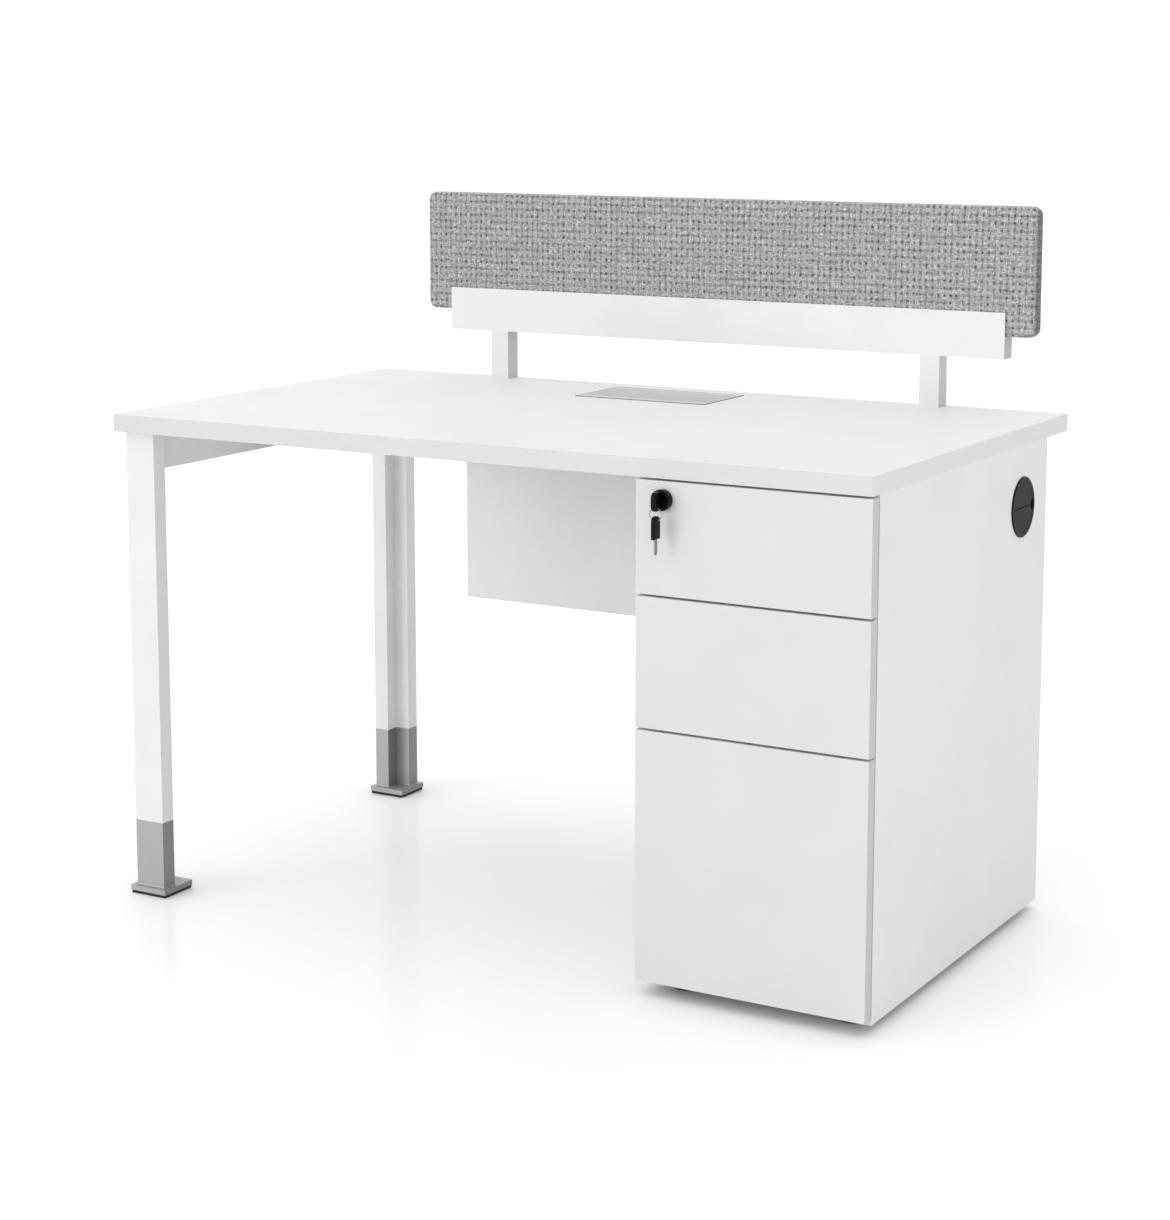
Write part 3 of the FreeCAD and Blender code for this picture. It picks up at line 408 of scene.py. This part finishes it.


# Boards of the desktop, the pedestal and the modesty panel: chipboard faced with white melamine.
# The pressed face has a fine pearl grain and a low sheen, a brighter one on the modesty panel,
# whose board is also drawn lighter, as painted light.
# The grain is drawn 2 mm wide, coarser than it is, so that it shows.
melamine = coated("melamine_faced_board", "#EBEBEB", "#E6E6E6", grain=0.002, relief=0.00003,
                  rough=(0.42, 0.52), uniform={"Specular IOR Level": 0.2})
dress(melamine, "desktop", "pedestal_left_side", "pedestal_right_side", "pedestal_back",
      "pedestal_bottom", "pedestal_lock_rail", "pedestal_back_rail")
lightened_modesty_board = coated("melamine_faced_thin_board", "#F3F3F3", "#EEEEEE", grain=0.002,
                       relief=0.00003, rough=(0.42, 0.52))
dress(lightened_modesty_board, "modesty_panel")


# Edge band: 1 mm extruded plastic, glued round the desktop and scraped flush with its faces.
# It is smoother, a little glossier and slightly greyer than the board.
edging = coated("extruded_edge_band", "#DFDFDF", "#DBDBDB", grain=0.004, relief=0.00001,
                rough=(0.3, 0.36))
dress(edging, "desktop_edge_band")


# Glides: four black discs of moulded plastic under the pedestal's corners, fixed from below.
# Their faces are dull from the mould.
glide_plastic = coated("moulded_glide_plastic", "#202020", "#181818", grain=0.0015, relief=0.00004,
                       rough=(0.5, 0.62))
dress(glide_plastic, "pedestal_glides")


# Slides: roll-formed steel channels that nest in each other on both sides of every drawer box,
# zinc plated like the screws.
dress(zinc, "file_slide_middles", *("%s_%s_slide_%s" % (drawer, side, member)
                                    for drawer in ("upper", "middle", "file")
                                    for side in ("left", "right")
                                    for member in ("cabinet", "drawer")))


# Drawer boxes: steel sheet, folded, spot welded and coated with a smooth grey epoxy powder.
# The coat is satin and has hardly any grain.
box_grey = coated("epoxy_coated_sheet_steel", "#A3A6A8", "#999C9E", grain=0.0018, relief=0.00003,
                  rough=(0.4, 0.5))
dress(box_grey, "upper_drawer_box", "middle_drawer_box", "file_drawer_box")


# Drawer fronts: board wrapped in a satin white foil, with softened edges. Their two upright ends
# are darkened in the colour as painted shade.
front_foil = coated("satin_foil_front", "#E2E2E2", "#DEDEDE", grain=0.0026, relief=0.00002,
                    rough=(0.34, 0.44))
paint_side_shade(front_foil, "#DCDCDC")
dress(front_foil, "upper_drawer_front", "middle_drawer_front", "file_drawer_front")


# Lock and keys: a black collar and plug in the upper drawer's front, and keys of nickel plated
# steel with glossy moulded heads, one in the lock and one on a thin wire ring.
gloss_black = coated("gloss_moulded_black", "#0A0A0A", "#060606", grain=0.003, relief=0.00001,
                     rough=(0.16, 0.26), uniform={"Specular IOR Level": 0.12})
dress(gloss_black, "lock_body", "lock_plug", "key_head", "spare_key_head")
nickel = coated("nickel_plated_steel", "#9A9A99", "#868685", grain=0.0012, relief=0.00001,
                rough=(0.2, 0.32), uniform={"Metallic": 1.0})
dress(nickel, "lock_cam", "key_blade", "spare_key_blade")
ring_wire = coated("bright_spring_wire", "#A8A8A8", "#8E8E8E", grain=0.0008, relief=0.00001,
                   rough=(0.22, 0.32), uniform={"Metallic": 1.0})
dress(ring_wire, "key_ring")


# Cable grommet: a near-black moulded ring pushed into the side panel, with two dark grey flaps.
rim_plastic = coated("moulded_black_rim", "#0C0C0C", "#070707", grain=0.0014, relief=0.00003,
                     rough=(0.4, 0.5), uniform={"Specular IOR Level": 0.12})
dress(rim_plastic, "grommet_ring")
flap_plastic = coated("moulded_dark_grey", "#303030", "#272727", grain=0.0012, relief=0.00004,
                      rough=(0.5, 0.62), uniform={"Specular IOR Level": 0.08})
dress(flap_plastic, "grommet_upper_flap", "grommet_lower_flap")


# Power box: a frame and lid of aluminium, brushed along their length and clear anodised, over a
# black steel tray with a white socket strip. The brush lines are drawn 0.6 mm apart so they show.
BRUSH_ACROSS = 0.0006
BRUSH_ALONG = 0.06
BRUSH_ROUGH = (0.38, 0.5)
BRUSH_RELIEF = 0.00002


def brushed(name, light, dark):
    """Anodised metal with fine lines along X."""
    material, tree, shader, place = new_material(name, {"Metallic": 1.0})
    stretch = add_node(tree, "ShaderNodeMapping", {"Vector": place, "Scale":
                       (1 / BRUSH_ALONG, 1 / BRUSH_ACROSS, 1 / BRUSH_ACROSS)})
    lines = add_node(tree, "ShaderNodeTexNoise", {"Vector": stretch.outputs[0], "Scale": 1.0,
                                                  "Detail": 4.0})
    colour = add_node(tree, "ShaderNodeMixRGB", {"Fac": lines.outputs["Fac"],
                                                 "Color1": linear(dark),
                                                 "Color2": linear(light)})
    gloss = add_node(tree, "ShaderNodeMapRange", {"Value": lines.outputs["Fac"],
                                                  "From Min": NOISE_SPAN[0],
                                                  "From Max": NOISE_SPAN[1],
                                                  "To Min": BRUSH_ROUGH[0],
                                                  "To Max": BRUSH_ROUGH[1]})
    bump = add_node(tree, "ShaderNodeBump", {"Height": lines.outputs["Fac"], "Strength": 0.6,
                                             "Distance": BRUSH_RELIEF})
    tree.links.new(colour.outputs[0], shader.inputs["Base Color"])
    tree.links.new(gloss.outputs[0], shader.inputs["Roughness"])
    tree.links.new(bump.outputs[0], shader.inputs["Normal"])
    return material


dress(brushed("brushed_anodised_frame", "#EAEAEA", "#DADADA"), "power_frame")
dress(brushed("brushed_anodised_lid", "#D1D1D1", "#BFBFBF"), "power_lid")
tray_coat = coated("powder_coated_steel_black", "#262626", "#1E1E1E", grain=0.0018, relief=0.00005,
                   rough=(0.45, 0.58))
dress(tray_coat, "power_tray")
socket_plastic = coated("moulded_socket_plastic", "#E9E8E4", "#E3E2DE", grain=0.002,
                        relief=0.00002, rough=(0.28, 0.38))
dress(socket_plastic, "socket_strip")

# Shadow line of the power box: a thin black ring round the frame, in the gap to the desktop and
# standing just above both. It is painted shade: a dark piece where the gap's shade falls.
SHADOW_LINE_WIDTH = 0.0014
SHADOW_LINE_SLACK = 0.00004
SHADOW_LINE_FLOOR = 0.0025
SHADOW_LINE_RISE = 0.0007
SHADOW_LINE_ROUND = 0.0003


def shadow_line_ring(inner_low, inner_high, bottom, top):
    """A closed rectangular ring of nearly square section, with its two top edges bevelled."""
    profile = ((0, bottom), (SHADOW_LINE_WIDTH, bottom), (SHADOW_LINE_WIDTH, top - SHADOW_LINE_ROUND),
               (SHADOW_LINE_WIDTH - SHADOW_LINE_ROUND, top), (SHADOW_LINE_ROUND, top), (0, top - SHADOW_LINE_ROUND))
    mesh = bmesh.new()
    loops = []
    for out, z in profile:
        x0, y0 = inner_low[0] - out, inner_low[1] - out
        x1, y1 = inner_high[0] + out, inner_high[1] + out
        loops.append([mesh.verts.new(spot) for spot in
                      ((x0, y0, z), (x1, y0, z), (x1, y1, z), (x0, y1, z))])
    for number, loop in enumerate(loops):
        following = loops[(number + 1) % len(loops)]
        for i in range(4):
            j = (i + 1) % 4
            mesh.faces.new((loop[i], loop[j], following[j], following[i]))
    bmesh.ops.recalc_face_normals(mesh, faces=mesh.faces)
    made = bpy.data.meshes.new("power_box_seal")
    mesh.to_mesh(made)
    mesh.free()
    return made


low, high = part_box("power_frame")
desk_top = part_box("desktop")[1].z
shadow_line_mesh = shadow_line_ring((low.x - SHADOW_LINE_SLACK, low.y - SHADOW_LINE_SLACK),
                      (high.x + SHADOW_LINE_SLACK, high.y + SHADOW_LINE_SLACK),
                      desk_top - SHADOW_LINE_FLOOR, desk_top + SHADOW_LINE_RISE)
shadow_line = bpy.data.objects.new("power_box_seal", shadow_line_mesh)
bpy.context.scene.collection.objects.link(shadow_line)
shadow_line_mesh.materials.append(pad_rubber)
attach(shadow_line, "desk")


# Screen posts and channel: square tube and a folded channel, in the legs' white coat, drawn a
# shade darker than on the legs as painted shade. Their faces that look along X are darkened
# further in the colour, as painted shade.
post_coat = coated("powder_coated_post_white", "#E9E9E9", "#E1E1E1", grain=0.0022, relief=0.00005,
                   rough=(0.38, 0.5))
paint_side_shade(post_coat, "#EDEDED")
dress(post_coat, "screen_post_left", "screen_post_right")
channel_coat = coated("powder_coated_channel_white", "#ECECEC", "#E4E4E4", grain=0.0022,
                      relief=0.00005, rough=(0.38, 0.5))
paint_side_shade(channel_coat, "#CBCBCB")
dress(channel_coat, "screen_channel")


# Screen panel: a board with a thin foam pad under a coarse woven fabric in mixed greys. The
# fabric is stretched over the edges and meets itself half way, so its weave wraps the corners.
PANEL_CORNER = 0.013
PANEL_ROLL = 0.006
CORNER_STEPS = 8
ROLL_STEPS = 6
STRIP_STEPS = 3
ALONG_STEP = 0.008
FACE_STEP = 0.006
PANEL_CROWN = 0.0008
CROWN_RUN = 0.03
CLOTH_UNEVEN = 0.00025
CLOTH_UNEVEN_STEP = 0.02
SAME_PLACE = 0.00005
WEAVE_ACROSS = 0.0097
WEAVE_DOWN = 0.0108
WEAVE_SWAY = (0.4, 0.32, 0)
WEAVE_SWAY_WIDTH = 0.012
HOLE_REACH = (0.34, 0.36, 1)
HOLE_RIM = (0.15, 1.1)
HOLE_LEAST = 0.4
SLACK_LINE = (0.02, 0.26)
SLACK_SPAN = (0.42, 0.66)
SLACK_MOST = 0.46
SLACK_RUN = 0.4
FIBRE_WIDTH = 0.004
FIBRE_SPAN = (0.4, 0.6)
FLECK_WIDTH = 0.0012
FLECK_LENGTH = 0.009
FLECK_SPAN = (0.57, 0.65)
FABRIC_RELIEF = 0.0006
YARN_DARK = "#8A8A8A"
YARN_LIGHT = "#ADADAD"
FLECK_COLOUR = "#D8D8D8"
HOLE_SHADE = "#434343"
NOISE_MEAN = (0.5, 0.5, 0.5)
CELL_MIDDLE = (0.5, 0.5, 0)


def outline(half_x, half_z, radius, counts):
    """Points and outward ways round a rounded rectangle, with the same count at every size."""
    points = []
    for corner, count in enumerate(counts):
        sign_x, sign_z = ((1, -1), (1, 1), (-1, 1), (-1, -1))[corner]
        centre = (sign_x * (half_x - radius), sign_z * (half_z - radius))
        start = (-math.pi / 2, 0, math.pi / 2, math.pi)[corner]
        for i in range(CORNER_STEPS + 1):
            turn = start + math.pi / 2 * i / CORNER_STEPS
            way = (math.cos(turn), math.sin(turn))
            points.append(((centre[0] + radius * way[0], centre[1] + radius * way[1]), way))
        sign_x, sign_z = ((1, 1), (-1, 1), (-1, -1), (1, -1))[corner]
        following = (sign_x * (half_x - radius), sign_z * (half_z - radius))
        last, way = points[-1]
        end = (following[0] + radius * way[0], following[1] + radius * way[1])
        for i in range(1, count):
            share = i / count
            points.append(((last[0] + (end[0] - last[0]) * share,
                            last[1] + (end[1] - last[1]) * share), way))
    return points


def crowned(x, z, inset, top_of_channel):
    """How far the pad stands proud: nothing at the edges and inside the channel."""
    share = min(inset / CROWN_RUN, (z - top_of_channel) / CROWN_RUN, 1)
    share = max(share, 0)
    return PANEL_CROWN * share * share * (3 - 2 * share)


low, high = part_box("screen_panel")
centre = (low + high) / 2
half_x, half_y, half_z = (high - low) / 2
channel_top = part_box("screen_channel")[1].z
long_count = round((2 * half_x - 2 * PANEL_CORNER) / ALONG_STEP)
short_count = round((2 * half_z - 2 * PANEL_CORNER) / ALONG_STEP)
counts = (short_count, long_count, short_count, long_count)
strip = half_y - PANEL_ROLL
# A ring is its inset from the outline, its distance from the middle and the cloth beyond the face.
rings = [(0, strip * i / STRIP_STEPS, strip * (1 - i / STRIP_STEPS) + PANEL_ROLL * math.pi / 2)
         for i in range(STRIP_STEPS)]
for i in range(ROLL_STEPS + 1):
    turn = math.pi / 2 * i / ROLL_STEPS
    rings.append((PANEL_ROLL * (1 - math.cos(turn)), strip + PANEL_ROLL * math.sin(turn),
                  PANEL_ROLL * (math.pi / 2 - turn)))
face_count = round((half_z - PANEL_ROLL) / FACE_STEP)
rings += [(PANEL_ROLL + (half_z - PANEL_ROLL) * i / face_count, half_y, 0)
          for i in range(1, face_count + 1)]

mesh = bmesh.new()
cloth = mesh.loops.layers.uv.new("cloth")
flat_place = {}
for side in (-1, 1):
    previous = None
    for inset, depth, beyond in rings:
        radius = max(PANEL_CORNER - inset, 0)
        here = outline(half_x - inset, half_z - inset, radius, counts)
        hem = outline(half_x - PANEL_ROLL, half_z - PANEL_ROLL,
                      max(PANEL_CORNER - PANEL_ROLL, 0), counts)
        loop = []
        for ((x, z), way), ((hem_x, hem_z), _) in zip(here, hem):
            spot = Vector((centre.x + x, centre.y + side * depth, centre.z + z))
            rough = noise.noise(spot / CLOTH_UNEVEN_STEP) * CLOTH_UNEVEN
            in_channel = spot.z < channel_top
            out = 0 if in_channel else crowned(x, spot.z, inset - PANEL_ROLL, channel_top)
            if beyond == 0:
                spot.y += side * (out + (0 if in_channel else rough))
            elif not in_channel:
                spot += Vector((way[0], 0, way[1])) * (rough - CLOTH_UNEVEN)
            vert = mesh.verts.new(spot)
            flat_place[vert] = ((x, z) if beyond == 0 else
                                (hem_x + way[0] * beyond, hem_z + way[1] * beyond))
            loop.append(vert)
        if previous:
            for i in range(len(loop)):
                j = (i + 1) % len(loop)
                corners = (previous[i], previous[j], loop[j], loop[i])
                mesh.faces.new(corners if side > 0 else tuple(reversed(corners)))
        previous = loop
for face in mesh.faces:
    for corner in face.loops:
        corner[cloth].uv = flat_place[corner.vert]
bmesh.ops.remove_doubles(mesh, verts=mesh.verts, dist=SAME_PLACE)
bmesh.ops.dissolve_degenerate(mesh, edges=mesh.edges, dist=SAME_PLACE)
bmesh.ops.recalc_face_normals(mesh, faces=mesh.faces)
panel_mesh = bpy.data.meshes.new("fabric_screen_panel")
mesh.to_mesh(panel_mesh)
mesh.free()
panel_mesh.polygons.foreach_set("use_smooth", [True] * len(panel_mesh.polygons))
panel = bpy.data.objects.new("fabric_screen_panel", panel_mesh)
bpy.context.scene.collection.objects.link(panel)

# Basket weave in a grey mixture yarn: a small dark hole where four pairs of yarns meet, lighter
# fibres across them, and a soft dry surface. It is drawn about 10 mm wide, as the photo shows it.
fabric, tree, shader, place = new_material("basket_weave_fabric", {
    "Roughness": 0.9, "Sheen Weight": 0.05, "Sheen Roughness": 0.5})
flat = add_node(tree, "ShaderNodeUVMap", uv_map="cloth").outputs[0]
wander = add_node(tree, "ShaderNodeTexNoise", {"Vector": flat, "Scale": 1 / WEAVE_SWAY_WIDTH,
                                               "Detail": 1.0})
sway = add_node(tree, "ShaderNodeVectorMath", {0: wander.outputs["Color"], 1: NOISE_MEAN},
                operation="SUBTRACT")
sway = add_node(tree, "ShaderNodeVectorMath", {0: sway.outputs[0], 1: WEAVE_SWAY},
                operation="MULTIPLY")
cells = add_node(tree, "ShaderNodeVectorMath", {0: flat, 1: (1 / WEAVE_ACROSS, 1 / WEAVE_DOWN, 0)},
                 operation="MULTIPLY")
cells = add_node(tree, "ShaderNodeVectorMath", {0: cells.outputs[0], 1: sway.outputs[0]})
number = add_node(tree, "ShaderNodeVectorMath", {0: cells.outputs[0]}, operation="FLOOR")
chance = add_node(tree, "ShaderNodeTexWhiteNoise", {"Vector": number.outputs[0]})
within = add_node(tree, "ShaderNodeVectorMath", {0: cells.outputs[0]}, operation="FRACTION")
within = add_node(tree, "ShaderNodeVectorMath", {0: within.outputs[0], 1: CELL_MIDDLE},
                  operation="SUBTRACT")
# The hole of each cell, soft at its rim and open to its own degree.
reach = add_node(tree, "ShaderNodeVectorMath", {0: within.outputs[0], 1: HOLE_REACH},
                 operation="DIVIDE")
reach = add_node(tree, "ShaderNodeVectorMath", {0: reach.outputs[0]}, operation="LENGTH")
pit = add_node(tree, "ShaderNodeMapRange", {"Value": reach.outputs["Value"],
                                            "From Min": HOLE_RIM[0], "From Max": HOLE_RIM[1],
                                            "To Min": 1.0, "To Max": 0.0},
               interpolation_type="SMOOTHSTEP")
opened = add_node(tree, "ShaderNodeMapRange", {"Value": chance.outputs["Value"],
                                               "To Min": HOLE_LEAST})
holes = [add_node(tree, "ShaderNodeMath", {0: pit.outputs[0], 1: opened.outputs[0]},
                  operation="MULTIPLY").outputs[0]]
# Slack rows: here and there the gap between two yarns stays a little open over a few cells.
parted = add_node(tree, "ShaderNodeSeparateXYZ", {0: within.outputs[0]})
for axis, run in ((0, (1, SLACK_RUN, 0)), (1, (SLACK_RUN, 1, 0))):
    off = add_node(tree, "ShaderNodeMath", {0: parted.outputs[axis]}, operation="ABSOLUTE")
    line = add_node(tree, "ShaderNodeMapRange", {"Value": off.outputs[0],
                                                 "From Min": SLACK_LINE[0],
                                                 "From Max": SLACK_LINE[1],
                                                 "To Min": 1.0, "To Max": 0.0})
    drawn = add_node(tree, "ShaderNodeVectorMath", {0: cells.outputs[0], 1: run},
                     operation="MULTIPLY")
    slack = add_node(tree, "ShaderNodeTexNoise", {"Vector": drawn.outputs[0], "Scale": 1.0,
                                                  "Detail": 1.0})
    slack = add_node(tree, "ShaderNodeMapRange", {"Value": slack.outputs["Fac"],
                                                  "From Min": SLACK_SPAN[0],
                                                  "From Max": SLACK_SPAN[1],
                                                  "To Max": SLACK_MOST})
    holes.append(add_node(tree, "ShaderNodeMath", {0: line.outputs[0], 1: slack.outputs[0]},
                          operation="MULTIPLY").outputs[0])
hole = holes[0]
for other in holes[1:]:
    hole = add_node(tree, "ShaderNodeMath", {0: hole, 1: other}, operation="MAXIMUM").outputs[0]
fibre = add_node(tree, "ShaderNodeTexNoise", {"Vector": flat, "Scale": 1 / FIBRE_WIDTH,
                                              "Detail": 3.0, "Roughness": 0.65})
yarn_tone = add_node(tree, "ShaderNodeMapRange", {"Value": fibre.outputs["Fac"],
                                                  "From Min": FIBRE_SPAN[0],
                                                  "From Max": FIBRE_SPAN[1]})
yarn = add_node(tree, "ShaderNodeMixRGB", {"Fac": yarn_tone.outputs[0],
                                           "Color1": linear(YARN_DARK),
                                           "Color2": linear(YARN_LIGHT)})
flecks = []
# Loose light fibres 1.2 mm wide and 9 mm long, down and across.
for wide, tall in ((FLECK_WIDTH, FLECK_LENGTH), (FLECK_LENGTH, FLECK_WIDTH)):
    drawn = add_node(tree, "ShaderNodeVectorMath", {0: flat, 1: (1 / wide, 1 / tall, 0)},
                     operation="MULTIPLY")
    streak = add_node(tree, "ShaderNodeTexNoise", {"Vector": drawn.outputs[0], "Scale": 1.0,
                                                   "Detail": 2.0})
    streak = add_node(tree, "ShaderNodeMapRange", {"Value": streak.outputs["Fac"],
                                                   "From Min": FLECK_SPAN[0],
                                                   "From Max": FLECK_SPAN[1]})
    flecks.append(streak.outputs[0])
fleck = add_node(tree, "ShaderNodeMath", {0: flecks[0], 1: flecks[1]}, operation="MAXIMUM")
with_flecks = add_node(tree, "ShaderNodeMixRGB", {"Fac": fleck.outputs[0],
                                                  "Color1": yarn.outputs[0],
                                                  "Color2": linear(FLECK_COLOUR)})
# The holes and slack rows sink in the bump, and their darker colour is painted shade in the gaps.
colour = add_node(tree, "ShaderNodeMixRGB", {"Fac": hole, "Color1": with_flecks.outputs[0],
                                             "Color2": linear(HOLE_SHADE)})
raised = add_node(tree, "ShaderNodeMath", {0: fibre.outputs["Fac"], 1: hole}, operation="SUBTRACT")
bump = add_node(tree, "ShaderNodeBump", {"Height": raised.outputs[0], "Strength": 0.8,
                                         "Distance": FABRIC_RELIEF})
tree.links.new(colour.outputs[0], shader.inputs["Base Color"])
tree.links.new(bump.outputs[0], shader.inputs["Normal"])
# The cloth on the panel's two ends, which look along X, is darkened in the colour as painted
# shade.
paint_side_shade(fabric, "#BABABA")
panel_mesh.materials.append(fabric)
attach(panel, "desk")
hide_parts("screen_panel")


# The spare screw head has served its turn.
bpy.data.objects.remove(pan_head)
